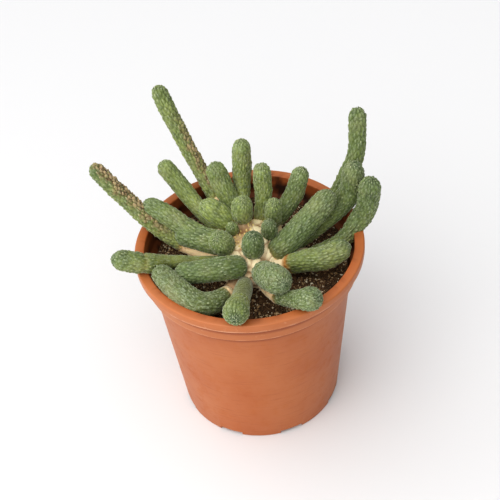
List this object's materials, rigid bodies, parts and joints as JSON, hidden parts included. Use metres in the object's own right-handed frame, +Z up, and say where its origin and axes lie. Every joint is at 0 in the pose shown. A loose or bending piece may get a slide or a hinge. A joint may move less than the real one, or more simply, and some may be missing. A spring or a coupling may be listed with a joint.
{
  "type": "potted euphorbia",
  "caption": "Medusa-headed succulent euphorbia with warty finger-like stems around a cream head, growing in a round terracotta-coloured plastic pot.",
  "frame": {"origin": "middle of the pot's flat underside", "axes": "+Z up along the pot's axis; the stems' tallest pair leans towards +Y; -Y is the front of the pot"},
  "size_m": [0.1494, 0.1442, 0.1585],
  "materials": {
    "pot_plastic": "satin terracotta-coloured moulded plastic",
    "stem_skin": "warty green succulent skin with pale leaf scars",
    "head_skin": "cream corky skin with fine cracks",
    "soil": "damp dark peat with pale grit"
  },
  "bodies": {
    "root": {"bud_back": "stem_skin", "bud_back_right": "stem_skin", "bud_front": "stem_skin", "bud_left": "stem_skin", "bud_right": "stem_skin", "bud_small": "stem_skin", "head": "head_skin", "pot": "pot_plastic", "soil": "soil", "stem_back": "stem_skin", "stem_back_inner": "stem_skin", "stem_back_left": "stem_skin", "stem_back_near": "stem_skin", "stem_back_right": "stem_skin", "stem_back_short": "stem_skin", "stem_far_left": "stem_skin", "stem_front": "stem_skin", "stem_front_left": "stem_skin", "stem_front_right": "stem_skin", "stem_left_back": "stem_skin", "stem_left_front": "stem_skin", "stem_left_mid": "stem_skin", "stem_left_rear": "stem_skin", "stem_left_rim": "stem_skin", "stem_left_young": "stem_skin", "stem_right_high": "stem_skin", "stem_right_low": "stem_skin", "stem_right_rear": "stem_skin", "stem_right_rim": "stem_skin", "stem_young_front": "stem_skin"}
  },
  "joints": []
}
